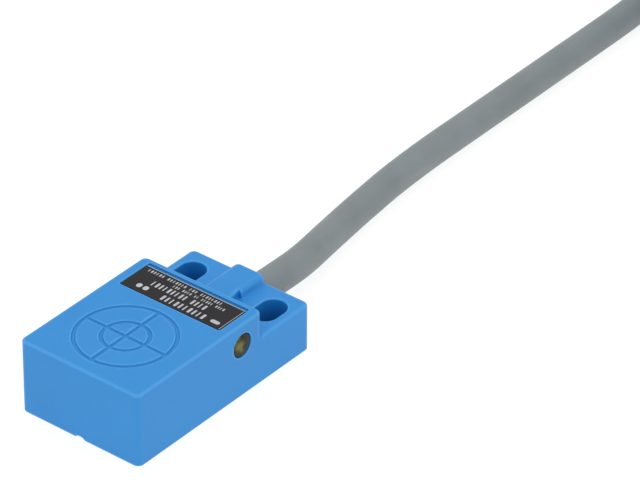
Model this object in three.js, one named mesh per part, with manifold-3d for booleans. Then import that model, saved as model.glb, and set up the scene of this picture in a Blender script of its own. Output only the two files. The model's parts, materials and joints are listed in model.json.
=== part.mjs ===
// Flat rectangular inductive proximity sensor with a moulded-in cable.
// Units are millimetres. The origin is the centre of the bottom face of the housing, +Z points
// out of the sensing face and +Y along the body towards the cable.
import * as THREE from 'three';
import { mergeVertices } from 'three/addons/utils/BufferGeometryUtils.js';
import Module from 'manifold-3d';

const wasm = await Module();
wasm.setup();

// ---------------------------------------------------------------- driving dimensions
const BODY = { width: 18, length: 31, height: 10 };
const WALL = 1.2;
const GAP = 0.3;                                  // clearance between pieces that meet
const CORNER = 0.8;                               // radius of the upright corners
const FRONT = -BODY.length / 2;
const REAR = BODY.length / 2;
const HEAD_REAR = 6.7;                            // where the full-height head steps down
const LEDGE_HEIGHT = 6.45;

// two slots for M3 screws; arcGap is the distance between the centres of their round ends
const SLOT = { pitch: 12.4, width: 3.4, arcGap: 1.5, y: 11.35, segments: 10 };
const BOSS = { top: 7.6, topHalf: 2.05, footHalf: 2.4, corner: 0.65 };   // hump over the bore
const RELIEF = { near: 2.4, far: 1.8, end: 11.05, sink: 0.1 };     // step cut in its right flank
const TARGET = { y: -7.2, outer: 6.05, inner: 2.85, groove: 0.5, depth: 0.25 };
const POCKET = { half: 7.65, front: 0.5, rear: 6, depth: 0.3 };
const LABEL = { half: 7.57, front: 0.58, rear: 5.46, thickness: 0.25 };
const LED = {
  y: 3.15,
  z: 7,
  radius: 1.52,
  hole: 1.6,
  length: 4.8,
  crown: 0.15,
  sink: 0.05,
  rim: 1.65,
  rimLength: 0.9,
};
const GATE = { radius: 0.65, height: 0.32, depth: 0.4 };  // mould gate mark under the front face

const CAVITY = { x: BODY.width / 2 - WALL, front: FRONT + WALL, rear: 5.5, top: BODY.height - WALL };
const COVER = { thickness: 1, rim: 0.4, play: 0.15 };
const BEAD = { width: 0.7, play: 0.1 };
const BOARD = { half: 7.4, front: -13.9, rear: 5.1, bottom: 2.8, thickness: 0.8 };
const BOARD_TOP = BOARD.bottom + BOARD.thickness;
const NOTCH = { half: 2.9, front: 3.9 };          // room in the board for the cable clamp

const CORE = { radius: 6.8, wall: 5.75, post: 2.9, hole: 1.5, floor: 1.3, bottom: 4.4, top: 8.6 };
const CORE_SLOT = { width: 3, bite: 0.3 };         // wire slots through the wall of the pot core
const COIL_WIRE = { x: 0.8, radius: 0.12, inset: 0.4, clear: 0.35, foot: 0.15 };

const CABLE = { radius: 2, bore: 2.15, z: 3.55, start: 13, innerEnd: 4 };
const CONDUCTOR = { radius: 0.6, names: ['brown', 'blue', 'black'] };

// the hank that the rest of the 2 m lead is folded into
const HANK = {
  x: 8.5,
  near: 123,
  run: 64,
  outer: 18,
  inner: 10,
  base: 0.9,
  layers: 4,
};
const TAIL = { turn: HANK.outer - CABLE.radius, length: 39, tip: 6, tipRadius: 0.4 };
const TIE = { width: 3, thickness: 0.6, head: 3.4 };

// Route of the lead from inside the bore to the edge of the hank: level out of the housing, slowly
// down onto the surface that the sensor lies on, along it, and up a little beside the hank.
const CABLE_ROUTE = [
  [0, 13, 3.55],
  [0, 15.5, 3.55],
  [0, 17.5, 3.55],
  [0, 19.7, 3.53],
  [-0.05, 22, 3.44],
  [-0.23, 24.5, 3.29],
  [-0.6, 27, 3.1],
  [-1.12, 29.5, 2.87],
  [-1.64, 32, 2.64],
  [-2.14, 34.5, 2.42],
  [-2.61, 37, 2.23],
  [-3.03, 39.5, 2.09],
  [-3.36, 42, 2.02],
  [-3.87, 47, 2.01],
  [-4.16, 52, 2.01],
  [-4.3, 57, 2.01],
  [-4.33, 64, 2.01],
  [-4.36, 72, 2.01],
  [-4.4, 80, 2.01],
  [-4.44, 88, 2.01],
  [-4.5, 96, 2.02],
  [-4.68, 101, 2.1],
  [-5.2, 106, 2.3],
  [-5.9, 109.5, 2.5],
];

// ---------------------------------------------------------------- colours and finishes
const BLUE_PLASTIC = { color: 0x4894db, roughness: 0.5, metalness: 0 };
const BLACK_FILM = { color: 0x2d2a2d, roughness: 0.45, metalness: 0 };
const DARK_PLASTIC = { color: 0x1d1d1f, roughness: 0.55, metalness: 0 };
const GREY_JACKET = { color: 0x828b8c, roughness: 0.55, metalness: 0 };
const RESIN = { color: 0x2a2622, roughness: 0.35, metalness: 0 };
const FERRITE = { color: 0x3a3a3d, roughness: 0.6, metalness: 0.1 };
const NATURAL_NYLON = { color: 0xd9d6c8, roughness: 0.5, metalness: 0 };
const ENAMELLED_COPPER = { color: 0xb5622d, roughness: 0.3, metalness: 0.9 };
const GREEN_BOARD = { color: 0x1f6b3a, roughness: 0.45, metalness: 0 };
const CERAMIC = { color: 0xb59a78, roughness: 0.6, metalness: 0 };
const TANTALUM = { color: 0xd8a132, roughness: 0.5, metalness: 0 };
const TINNED = { color: 0xc4c6c8, roughness: 0.3, metalness: 1 };
const AMBER_LENS = { color: 0x8a8a3c, roughness: 0.15, metalness: 0 };
const CONDUCTOR_FINISH = {
  brown: { color: 0x6b3f22, roughness: 0.5, metalness: 0 },
  blue: { color: 0x2a5fb0, roughness: 0.5, metalness: 0 },
  black: { color: 0x1c1c1e, roughness: 0.5, metalness: 0 },
};

// ---------------------------------------------------------------- solids
function merged(geometry) {
  const bare = geometry.clone();
  bare.deleteAttribute('normal');
  bare.deleteAttribute('uv');
  const whole = mergeVertices(bare, 1e-4);
  const corners = whole.index.array;
  const kept = [];
  for (let i = 0; i < corners.length; i += 3) {
    const [a, b, c] = corners.slice(i, i + 3);
    if (a !== b && b !== c && c !== a) kept.push(a, b, c);
  }
  whole.setIndex(kept);
  return whole;
}

function solidOf(geometry) {
  const whole = merged(geometry);
  return new wasm.Manifold(new wasm.Mesh({
    numProp: 3,
    vertProperties: Float32Array.from(whole.attributes.position.array),
    triVerts: Uint32Array.from(whole.index.array),
  }));
}

function geometryOf(solid) {
  const mesh = solid.getMesh();
  const geometry = new THREE.BufferGeometry();
  geometry.setAttribute('position', new THREE.BufferAttribute(mesh.vertProperties, 3));
  geometry.setIndex(new THREE.BufferAttribute(mesh.triVerts, 1));
  geometry.computeVertexNormals();
  return geometry;
}

function joined(geometries) {
  const whole = geometries.map(solidOf).reduce((sum, next) => sum.add(next));
  return geometryOf(whole);
}

function common(first, second) {
  return geometryOf(solidOf(first).intersect(solidOf(second)));
}

function cut(body, tools) {
  const left = tools.map(solidOf).reduce((rest, tool) => rest.subtract(tool), solidOf(body));
  return geometryOf(left);
}

// ---------------------------------------------------------------- basic shapes
function box(x0, x1, y0, y1, z0, z1) {
  const geometry = new THREE.BoxGeometry(x1 - x0, y1 - y0, z1 - z0);
  return geometry.translate((x0 + x1) / 2, (y0 + y1) / 2, (z0 + z1) / 2);
}

function roundedOutline(x0, x1, y0, y1, radius) {
  const shape = new THREE.Shape();
  shape.moveTo(x0 + radius, y0);
  shape.absarc(x1 - radius, y0 + radius, radius, -Math.PI / 2, 0);
  shape.absarc(x1 - radius, y1 - radius, radius, 0, Math.PI / 2);
  shape.absarc(x0 + radius, y1 - radius, radius, Math.PI / 2, Math.PI);
  shape.absarc(x0 + radius, y0 + radius, radius, Math.PI, Math.PI * 1.5);
  return shape;
}

function prism(shape, z0, z1, curveSegments = 6) {
  const options = { depth: z1 - z0, bevelEnabled: false, curveSegments };
  return new THREE.ExtrudeGeometry(shape, options).translate(0, 0, z0);
}

function roundedBlock(x0, x1, y0, y1, z0, z1, radius) {
  return prism(roundedOutline(x0, x1, y0, y1, radius), z0, z1);
}

// a shape drawn in X and Z, carried from y0 to y1
function prismAlongY(shape, y0, y1) {
  return prism(shape, -y1, -y0).rotateX(Math.PI / 2);
}

function outline(points) {
  return new THREE.Shape(points.map(([x, y]) => new THREE.Vector2(x, y)));
}

function stadium(x, nearY, farY, radius) {
  const shape = new THREE.Shape();
  shape.moveTo(x + radius, nearY);
  shape.lineTo(x + radius, farY);
  shape.absarc(x, farY, radius, 0, Math.PI);
  shape.lineTo(x - radius, nearY);
  shape.absarc(x, nearY, radius, Math.PI, Math.PI * 2);
  return shape;
}

// points are [radius, height] pairs; the turned solid stands on the Z axis
function turned(points, segments = 24) {
  const profile = points.map(([r, z]) => new THREE.Vector2(r, z));
  return new THREE.LatheGeometry(profile, segments).rotateX(Math.PI / 2);
}

function ring(inner, outer, z0, z1, segments = 32) {
  return turned([[inner, z0], [outer, z0], [outer, z1], [inner, z1], [inner, z0]], segments);
}

function disc(radius, z0, z1, segments = 24) {
  return turned([[0, z0], [radius, z0], [radius, z1], [0, z1]], segments);
}

function alongX(geometry) {
  return geometry.rotateY(Math.PI / 2);
}

function alongY(geometry) {
  return geometry.rotateX(-Math.PI / 2);
}

function tube(points, radius, sides, steps) {
  const curve = new THREE.CatmullRomCurve3(points.map((p) => new THREE.Vector3(...p)));
  const section = new THREE.Shape();
  for (let i = 0; i < sides; i += 1) {
    const turn = (2 * Math.PI * i) / sides;
    const go = i === 0 ? 'moveTo' : 'lineTo';
    section[go](radius * Math.cos(turn), radius * Math.sin(turn));
  }
  return new THREE.ExtrudeGeometry(section, { steps, extrudePath: curve, bevelEnabled: false });
}

// ---------------------------------------------------------------- scene graph
const sensor = new THREE.Group();
const cableGroup = new THREE.Group();
sensor.add(cableGroup);

function add(name, geometry, finish, parent = sensor) {
  const mesh = new THREE.Mesh(geometry, new THREE.MeshStandardMaterial(finish));
  mesh.name = name;
  parent.add(mesh);
  return mesh;
}

// ---------------------------------------------------------------- housing
function bossBlock() {
  const start = HEAD_REAR - 1;
  const section = outline([
    [-BOSS.footHalf, CABLE.z],
    [BOSS.footHalf, CABLE.z],
    [BOSS.footHalf, LEDGE_HEIGHT],
    [BOSS.topHalf, BOSS.top],
    [-BOSS.topHalf, BOSS.top],
    [-BOSS.footHalf, LEDGE_HEIGHT],
  ]);
  const reach = BOSS.footHalf;
  const plan = roundedBlock(-reach, reach, start, REAR, CABLE.z - 1, BOSS.top + 1, BOSS.corner);
  const relief = outline([
    [RELIEF.near, start - 1],
    [BOSS.footHalf + 1, start - 1],
    [BOSS.footHalf + 1, RELIEF.end],
    [RELIEF.far, RELIEF.end],
    [RELIEF.near, start],
  ]);
  const whole = common(prismAlongY(section, start, REAR + 1), plan);
  return cut(whole, [prism(relief, LEDGE_HEIGHT - RELIEF.sink, BOSS.top + 1)]);
}

function targetGrooves() {
  const floor = BODY.height - TARGET.depth;
  const above = BODY.height + 1;
  const half = TARGET.groove / 2;
  const rings = [TARGET.outer, TARGET.inner].map(
    (radius) => ring(radius - half, radius + half, floor, above, 40).translate(0, TARGET.y, 0),
  );
  const reach = TARGET.outer;
  const across = box(-reach, reach, TARGET.y - half, TARGET.y + half, floor, above);
  const along = box(-half, half, TARGET.y - reach, TARGET.y + reach, floor, above);
  return [...rings, across, along];
}

function screwSlots() {
  const half = SLOT.arcGap / 2;
  return [-1, 1].map((side) => {
    const x = (side * SLOT.pitch) / 2;
    const ends = [SLOT.y - half, SLOT.y + half];
    return prism(stadium(x, ...ends, SLOT.width / 2), -1, LEDGE_HEIGHT + 1, SLOT.segments);
  });
}

function housing() {
  const half = BODY.width / 2;
  const block = joined([
    roundedBlock(-half, half, FRONT, HEAD_REAR, 0, BODY.height, CORNER),
    roundedBlock(-half, half, 0, REAR, 0, LEDGE_HEIGHT, CORNER),
    bossBlock(),
  ]);
  const { x, front, rear, top } = CAVITY;
  const rim = COVER.rim;
  const pocketFloor = BODY.height - POCKET.depth;
  return cut(block, [
    box(-x, x, front, rear, -1, top),
    box(-x - rim, x + rim, front - rim, rear + rim, -1, COVER.thickness),
    alongY(disc(CABLE.bore, rear - 1, REAR + 1, 20)).translate(0, 0, CABLE.z),
    alongX(disc(LED.hole, x - 1, half + 1, 24)).translate(0, LED.y, LED.z),
    box(-POCKET.half, POCKET.half, POCKET.front, POCKET.rear, pocketFloor, BODY.height + 1),
    alongY(disc(GATE.radius, FRONT - 1, FRONT + GATE.depth, 16))
      .scale(1, 1, GATE.height / GATE.radius),
    ...targetGrooves(),
    ...screwSlots(),
  ]);
}

function baseCover() {
  const x = CAVITY.x + COVER.rim - COVER.play;
  const front = CAVITY.front - COVER.rim + COVER.play;
  const rear = CAVITY.rear + COVER.rim - COVER.play;
  return box(-x, x, front, rear, 0, COVER.thickness - COVER.play);
}

// the fillet of sealing resin round the inside of the cover, open where the cable comes in
function sealingBead() {
  const { width, play } = BEAD;
  const x = CAVITY.x - play;
  const front = CAVITY.front + play;
  const rear = CAVITY.rear - play;
  const shape = outline([[-x, front], [x, front], [x, rear], [-x, rear]]);
  shape.holes.push(outline([
    [-x + width, front + width],
    [-x + width, rear - width],
    [x - width, rear - width],
    [x - width, front + width],
  ]));
  const high = COVER.thickness + width;
  const bead = prism(shape, COVER.thickness, high);
  return cut(bead, [box(-NOTCH.half, NOTCH.half, rear - 2 * width, rear + 1, 0, high + 1)]);
}

function ratingLabel() {
  const base = BODY.height - POCKET.depth;
  return box(-LABEL.half, LABEL.half, LABEL.front, LABEL.rear, base, base + LABEL.thickness);
}

add('housing', housing(), BLUE_PLASTIC);
add('base_cover', baseCover(), BLUE_PLASTIC);
add('sealing_bead', sealingBead(), RESIN);
add('rating_label', ratingLabel(), BLACK_FILM);

// ---------------------------------------------------------------- sensing coil
const coil = new THREE.Group();
coil.position.set(0, TARGET.y, 0);
sensor.add(coil);

const WINDOW = { bottom: CORE.bottom + CORE.floor, top: CORE.top };
const BOBBIN = { hub: CORE.post + 0.2, flange: CORE.wall - 0.2, wall: 0.4, play: 0.15 };
const SPOOL_GAP = 0.1;                            // clearance of the winding in the former

function ferriteCore() {
  const pot = turned([
    [CORE.hole, CORE.bottom],
    [CORE.radius, CORE.bottom],
    [CORE.radius, CORE.top],
    [CORE.wall, CORE.top],
    [CORE.wall, WINDOW.bottom],
    [CORE.post, WINDOW.bottom],
    [CORE.post, CORE.top],
    [CORE.hole, CORE.top],
    [CORE.hole, CORE.bottom],
  ], 36);
  const half = CORE_SLOT.width / 2;
  const near = CORE.wall - CORE_SLOT.bite;
  const far = CORE.radius + 1;
  const slots = [[near, far], [-far, -near]].map(
    ([y0, y1]) => box(-half, half, y0, y1, CORE.bottom - 1, CORE.top + 1),
  );
  return cut(pot, slots);
}

function coilBobbin() {
  const low = WINDOW.bottom + BOBBIN.play;
  const high = WINDOW.top - BOBBIN.play;
  const drum = BOBBIN.hub + BOBBIN.wall;
  return turned([
    [BOBBIN.hub, low],
    [BOBBIN.flange, low],
    [BOBBIN.flange, low + BOBBIN.wall],
    [drum, low + BOBBIN.wall],
    [drum, high - BOBBIN.wall],
    [BOBBIN.flange, high - BOBBIN.wall],
    [BOBBIN.flange, high],
    [BOBBIN.hub, high],
    [BOBBIN.hub, low],
  ], 32);
}

const WINDING = {
  inner: BOBBIN.hub + BOBBIN.wall + SPOOL_GAP,
  outer: BOBBIN.flange - 0.25,
  bottom: WINDOW.bottom + BOBBIN.play + BOBBIN.wall + SPOOL_GAP,
  top: WINDOW.top - BOBBIN.play - BOBBIN.wall - SPOOL_GAP,
};

// fine wire from the winding, out through the slot of the core and down to the board
function coilLead(side) {
  const x = side * COIL_WIRE.x;
  const z = side < 0 ? WINDING.bottom + COIL_WIRE.inset : WINDING.top - COIL_WIRE.inset;
  const out = CORE.radius + COIL_WIRE.clear;
  const route = [
    [x, WINDING.outer + COIL_WIRE.clear, z],
    [x, CORE.wall + COIL_WIRE.clear, z - 0.05],
    [x, out - 0.2, z - 0.4],
    [x * 1.1, out, z - 1.1],
    [x * 1.2, out, BOARD_TOP + COIL_WIRE.foot],
  ];
  return tube(route, COIL_WIRE.radius, 6, 10);
}

add('ferrite_core', ferriteCore(), FERRITE, coil);
add('coil_bobbin', coilBobbin(), NATURAL_NYLON, coil);
const winding = ring(WINDING.inner, WINDING.outer, WINDING.bottom, WINDING.top);
add('coil_winding', winding, ENAMELLED_COPPER, coil);
add('coil_lead_start', coilLead(-1), ENAMELLED_COPPER, coil);
add('coil_lead_end', coilLead(1), ENAMELLED_COPPER, coil);

// ---------------------------------------------------------------- circuit board and its parts
function circuitBoard() {
  const { half, front, rear } = BOARD;
  const shape = outline([
    [-half, front],
    [half, front],
    [half, rear],
    [NOTCH.half, rear],
    [NOTCH.half, NOTCH.front],
    [-NOTCH.half, NOTCH.front],
    [-NOTCH.half, rear],
    [-half, rear],
  ]);
  return prism(shape, BOARD.bottom, BOARD_TOP);
}

const LEG = { clear: 0.12, foot: 0.55, root: 0.3, thick: 0.2, wide: 0.4 };

// a moulded package under the board with its legs soldered to it, drawn upside down
function legPackage(width, length, height, legs) {
  const { clear, foot, root, thick, wide } = LEG;
  const top = -clear;
  const body = box(-width / 2, width / 2, -length / 2, length / 2, top - height, top - thick / 2);
  const low = top - height / 2 - thick / 2;
  const pieces = legs.map(({ x, side }) => {
    const [x0, x1] = [x - wide / 2, x + wide / 2];
    const out = length / 2 + foot;
    const along = (from, to, z1) => {
      const [y0, y1] = side < 0 ? [-to, -from] : [from, to];
      return box(x0, x1, y0, y1, low, z1);
    };
    return joined([
      along(length / 2 - root, out, low + thick),
      along(out - thick, out, top),
    ]);
  });
  return joined([body, ...pieces]);
}

// legs side by side along the front (-1) or rear (1) side of a package
function legRow(count, pitch, side) {
  return Array.from({ length: count }, (_, i) => ({ x: (i - (count - 1) / 2) * pitch, side }));
}

// a two-terminal chip: the ceramic block stands slightly in from its end caps
function chip(length, width, height) {
  const cap = length * 0.22;
  const inset = 0.05;
  const end = length / 2;
  const side = width / 2;
  const [x, y] = [end - inset, side - inset];
  return joined([
    box(-end, -end + cap, -side, side, 0, height),
    box(end - cap, end, -side, side, 0, height),
    box(-x, x, -y, y, inset, height - inset),
  ]);
}

add('circuit_board', circuitBoard(), GREEN_BOARD);

const BOARD_GAP = 0.1;                            // the parts stand this far off the board
const UNDER = BOARD.bottom - BOARD_GAP;
const OVER = BOARD_TOP + BOARD_GAP;

function addUnder(name, geometry, finish, x, y, turn = 0) {
  const mesh = add(name, geometry, finish);
  mesh.rotation.z = turn;
  mesh.position.set(x, y, UNDER);
}

const IC_PITCH = 1.27;
const TRANSISTOR_PITCH = 1.9;
const icLegs = [...legRow(4, IC_PITCH, -1), ...legRow(4, IC_PITCH, 1)];
addUnder('oscillator_ic', legPackage(4.9, 3.9, 1.45, icLegs), DARK_PLASTIC, 0, TARGET.y);
const transistorLegs = [...legRow(2, TRANSISTOR_PITCH, -1), ...legRow(1, TRANSISTOR_PITCH, 1)];
addUnder('output_transistor', legPackage(2.9, 1.3, 1, transistorLegs), DARK_PLASTIC, 4.6, 0.6);

// chips under the board: length, width and height, where each is, and whether it is turned across
const DIODE_SIZE = [2.7, 1.6, 1.1];
const CAPACITOR_SIZE = [2, 1.25, 0.9];
const RESISTOR_SIZE = [1.6, 0.8, 0.5];
const CHIPS = [
  { name: 'protection_diode', size: DIODE_SIZE, finish: DARK_PLASTIC, x: -4.4, y: 0.6 },
  { name: 'resonance_capacitor', size: CAPACITOR_SIZE, finish: CERAMIC, x: -4.6, y: -7.2, across: true },
  { name: 'filter_capacitor', size: CAPACITOR_SIZE, finish: CERAMIC, x: 4.6, y: -7.2, across: true },
  { name: 'gain_resistor', size: RESISTOR_SIZE, finish: DARK_PLASTIC, x: -3, y: -11.8 },
  { name: 'bias_resistor', size: RESISTOR_SIZE, finish: DARK_PLASTIC, x: 0, y: -11.8 },
  { name: 'led_resistor', size: RESISTOR_SIZE, finish: DARK_PLASTIC, x: 3, y: -11.8 },
];
CHIPS.forEach(({ name, size, finish, x, y, across }) => {
  const [length, width, height] = size;
  const geometry = chip(length, width, height).translate(0, 0, -height);
  addUnder(name, geometry, finish, x, y, across ? Math.PI / 2 : 0);
});

const TANTALUM_SIZE = [3.5, 2.6, 1.9];
const tantalum = add('smoothing_capacitor', chip(...TANTALUM_SIZE), TANTALUM);
tantalum.position.set(-5.2, 2.5, OVER);

// ---------------------------------------------------------------- indicator
function indicatorLed() {
  const tip = BODY.width / 2 - LED.sink;
  const back = tip - LED.length;
  const steps = 5;
  const crown = Array.from({ length: steps + 1 }, (_, i) => {
    const turn = (i / steps) * (Math.PI / 2);
    return [LED.radius * Math.cos(turn), tip - LED.crown * (1 - Math.sin(turn))];
  });
  crown[steps][0] = 0;
  const profile = [
    [0, back],
    [LED.rim, back],
    [LED.rim, back + LED.rimLength],
    [LED.radius, back + LED.rimLength],
    ...crown,
  ];
  return alongX(turned(profile, 24)).translate(0, LED.y, LED.z);
}

const LED_WIRE = { size: 0.45, spacing: 2.54, reach: 0.75, gap: 0.1 };

// square wire out of the back of the lamp, bent down to the board
function ledLead(side) {
  const { size, spacing, reach, gap } = LED_WIRE;
  const back = BODY.width / 2 - LED.sink - LED.length - gap;
  const bend = back - reach;
  const y = LED.y + (side * spacing - size) / 2;
  return joined([
    box(bend, back, y, y + size, LED.z - size / 2, LED.z + size / 2),
    box(bend, bend + size, y, y + size, OVER, LED.z),
  ]);
}

add('indicator_led', indicatorLed(), AMBER_LENS);
add('led_anode_lead', ledLead(-1), TINNED);
add('led_cathode_lead', ledLead(1), TINNED);

// ---------------------------------------------------------------- cable inside the housing
function roundAlongY(radius, y0, y1, segments) {
  return alongY(disc(radius, y0, y1, segments)).translate(0, 0, CABLE.z);
}

const CLAMP = { play: 0.1, wall: 0.4, front: 4.25, rear: 5.3 };

function cableClamp() {
  const inner = CABLE.radius + CLAMP.play;
  const sleeve = ring(inner, inner + CLAMP.wall, CLAMP.front, CLAMP.rear, 24);
  return alongY(sleeve).translate(0, 0, CABLE.z);
}

const JOINT = { y: 0.75, radius: 0.7, height: 0.75, spacing: 1.8 };
const FAN = [                                     // where each conductor leaves the jacket
  { x: -1.1, z: CABLE.z + 0.75 },
  { x: 0, z: CABLE.z + 1.35 },
  { x: 1.1, z: CABLE.z + 0.75 },
];

function innerConductor(index) {
  const { x, z } = FAN[index];
  const end = (index - 1) * JOINT.spacing;
  const rest = OVER + CONDUCTOR.radius;
  return tube([
    [x, CABLE.innerEnd - 0.2, z],
    [x, CABLE.innerEnd - 0.8, z],
    [(x + end) / 2, CABLE.innerEnd - 1.5, (z + rest) / 2],
    [end, JOINT.y + JOINT.radius + 0.5, rest],
    [end, JOINT.y + JOINT.radius + 0.15, rest],
  ], CONDUCTOR.radius, 8, 10);
}

function solderJoint() {
  const { radius, height } = JOINT;
  return turned([
    [0, 0],
    [radius, 0],
    [radius * 0.85, height * 0.5],
    [radius * 0.45, height * 0.9],
    [0, height],
  ], 16);
}

add('cable_jacket_inner', roundAlongY(CABLE.radius, CABLE.innerEnd, CABLE.start - GAP, 16), GREY_JACKET);
add('cable_clamp', cableClamp(), TINNED);
CONDUCTOR.names.forEach((name, index) => {
  add(`core_${name}_inner`, innerConductor(index), CONDUCTOR_FINISH[name]);
  const joint = add(`solder_${name}`, solderJoint(), TINNED);
  joint.position.set((index - 1) * JOINT.spacing, JOINT.y, OVER);
});

// ---------------------------------------------------------------- free cable
function cableHank() {
  const far = HANK.near + HANK.run;
  const shape = stadium(HANK.x, HANK.near, far, HANK.outer);
  shape.holes.push(stadium(HANK.x, HANK.near, far, HANK.inner));
  return prism(shape, HANK.base, HANK.base + HANK.layers * 2 * CABLE.radius, 16);
}

// the last turn lies on top of the hank and ends where its far loop comes round
const TOP_OF_HANK = HANK.base + HANK.layers * 2 * CABLE.radius + GAP;

function cableTail() {
  const z = TOP_OF_HANK + CABLE.radius;
  const far = HANK.near + HANK.run;
  const points = [];
  for (let y = HANK.near; y < far; y += 8) points.push([HANK.x - TAIL.turn, y, z]);
  for (let i = 0; i <= 8; i += 1) {
    const turn = Math.PI * (1 - i / 8);
    points.push([HANK.x + TAIL.turn * Math.cos(turn), far + TAIL.turn * Math.sin(turn), z]);
  }
  return tube(points, CABLE.radius, 10, 22);
}

// a conductor of the stripped end: out of the jacket, down onto the hank and along it
const SPREAD = [
  { start: [-0.8, -0.45], end: -4.6 },
  { start: [0, 0.85], end: -2.1 },
  { start: [0.8, -0.45], end: 0.6 },
];

function tailRoute(index) {
  const { start: [dx, dz], end } = SPREAD[index];
  const x = HANK.x + TAIL.turn;
  const y = HANK.near + HANK.run - GAP;
  const z = TOP_OF_HANK + CABLE.radius;
  const rest = TOP_OF_HANK + CONDUCTOR.radius;
  return [
    [x + dx, y, z + dz],
    [x + dx, y - 3, z + dz * 0.9],
    [x + dx + (end - dx) * 0.25, y - 9, (z + dz + rest) / 2],
    [x + dx + (end - dx) * 0.6, y - 16, rest + 0.15],
    [x + dx + (end - dx) * 0.9, y - 24, rest],
    [x + end, y - 31, rest],
    [x + end, y - TAIL.length, rest],
  ];
}

function tinnedTip(index) {
  const [x, y, z] = tailRoute(index).at(-1);
  const near = y - GAP;
  return alongY(disc(TAIL.tipRadius, near - TAIL.tip, near, 10)).translate(x, 0, z);
}

// band round one side of the hank, with its locking head in the open middle
function cableTie() {
  const left = HANK.x - HANK.outer - GAP;
  const right = HANK.x - HANK.inner + GAP;
  const top = TOP_OF_HANK + 2 * CABLE.radius + GAP;
  const t = TIE.thickness;
  const band = outline([[left - t, 0], [right + t, 0], [right + t, top + t], [left - t, top + t]]);
  band.holes.push(outline([[left, t], [left, top], [right, top], [right, t]]));
  const y = HANK.near + HANK.run / 2;
  const middle = TOP_OF_HANK / 2;
  return joined([
    prismAlongY(band, y - TIE.width / 2, y + TIE.width / 2),
    box(
      right + t / 2,
      right + TIE.head,
      y - TIE.head / 2,
      y + TIE.head / 2,
      middle,
      middle + TIE.head,
    ),
  ]);
}

add('cable_run', tube(CABLE_ROUTE, CABLE.radius, 10, 40), GREY_JACKET, cableGroup);
add('cable_hank', cableHank(), GREY_JACKET, cableGroup);
add('cable_tail', cableTail(), GREY_JACKET, cableGroup);
add('cable_tie', cableTie(), DARK_PLASTIC, cableGroup);
CONDUCTOR.names.forEach((name, index) => {
  const insulation = tube(tailRoute(index), CONDUCTOR.radius, 8, 14);
  add(`core_${name}_tail`, insulation, CONDUCTOR_FINISH[name], cableGroup);
  add(`tip_${name}`, tinnedTip(index), TINNED, cableGroup);
});

export default sensor;
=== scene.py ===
"""Looks of a flat inductive proximity sensor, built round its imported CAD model.

The CAD frame is in metres, +Z out of the sensing face and +Y towards the cable. Lengths below are
in millimetres, and are multiplied by MM where a Blender object is made, unless a comment says that
they are in metres.
"""
import json
import math

import bmesh
import bpy
import numpy as np
import openvdb
from mathutils import Matrix, Vector


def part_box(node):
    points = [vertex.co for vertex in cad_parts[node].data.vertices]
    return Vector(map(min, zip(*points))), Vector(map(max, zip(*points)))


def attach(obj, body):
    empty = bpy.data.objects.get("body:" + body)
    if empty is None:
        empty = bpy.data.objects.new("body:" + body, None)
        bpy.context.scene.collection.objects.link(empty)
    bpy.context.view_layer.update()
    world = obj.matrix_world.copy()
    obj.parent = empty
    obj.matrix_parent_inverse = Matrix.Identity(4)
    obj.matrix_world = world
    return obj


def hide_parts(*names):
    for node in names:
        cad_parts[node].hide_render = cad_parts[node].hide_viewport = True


MM = 0.001

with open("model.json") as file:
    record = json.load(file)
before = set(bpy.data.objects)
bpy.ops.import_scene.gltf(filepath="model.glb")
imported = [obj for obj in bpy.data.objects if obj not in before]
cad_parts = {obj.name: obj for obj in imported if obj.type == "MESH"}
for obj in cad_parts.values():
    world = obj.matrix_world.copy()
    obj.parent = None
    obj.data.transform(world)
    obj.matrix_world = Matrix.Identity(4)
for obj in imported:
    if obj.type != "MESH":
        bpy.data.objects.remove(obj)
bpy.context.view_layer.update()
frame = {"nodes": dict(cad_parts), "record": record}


def box_mm(node):
    """Lowest and highest corner of a CAD node in millimetres."""
    low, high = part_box(node)
    return Vector(low) / MM, Vector(high) / MM


# ---------------------------------------------------------------- sizes taken from the frame
BODY_LOW, BODY_HIGH = box_mm("housing")
HALF_WIDTH = BODY_HIGH.x
FRONT = BODY_LOW.y
REAR = BODY_HIGH.y
TOP = BODY_HIGH.z
LABEL_LOW, LABEL_HIGH = box_mm("rating_label")
HANK_LOW, HANK_HIGH = box_mm("cable_hank")
JACKET_LOW, JACKET_HIGH = box_mm("cable_jacket_inner")
TIE_LOW, TIE_HIGH = box_mm("cable_tie")
TIP_LOW, TIP_HIGH = box_mm("tip_blue")

# ---------------------------------------------------------------- camera
VIEW = {"azimuth": 38.78, "elevation": 33.985, "roll": 0.339, "distance": 604.9, "lens": 278.04}
LOOK_AT = Vector((-4.4, 34.0, 0.0))


def make_camera():
    """The photograph's camera: azimuth and elevation in degrees, distance in millimetres."""
    azimuth = math.radians(VIEW["azimuth"])
    elevation = math.radians(VIEW["elevation"])
    back = Vector((
        math.sin(azimuth) * math.cos(elevation),
        -math.cos(azimuth) * math.cos(elevation),
        math.sin(elevation),
    ))
    camera = bpy.data.objects.new("camera", bpy.data.cameras.new("camera"))
    bpy.context.collection.objects.link(camera)
    turn = (-back).to_track_quat("-Z", "Y").to_matrix().to_4x4()
    roll = Matrix.Rotation(math.radians(VIEW["roll"]), 4, "Z")
    place = Matrix.Translation((LOOK_AT + back * VIEW["distance"]) * MM)
    camera.matrix_world = place @ turn @ roll
    camera.data.lens = VIEW["lens"]
    camera.data.sensor_width = 36
    camera.data.clip_start = 0.01
    bpy.context.scene.camera = camera


make_camera()


# ---------------------------------------------------------------- material tools
MIX_COLORS = (6, 7)         # a Mix node's inputs for its two colours
MIX_RESULT = 2              # and its output for the mixed colour
NOISE_RANGE = (0.3, 0.7)    # where most values of a noise texture lie
UNEVEN_GLOSS = 0.06         # how far a plastic's roughness strays


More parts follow.
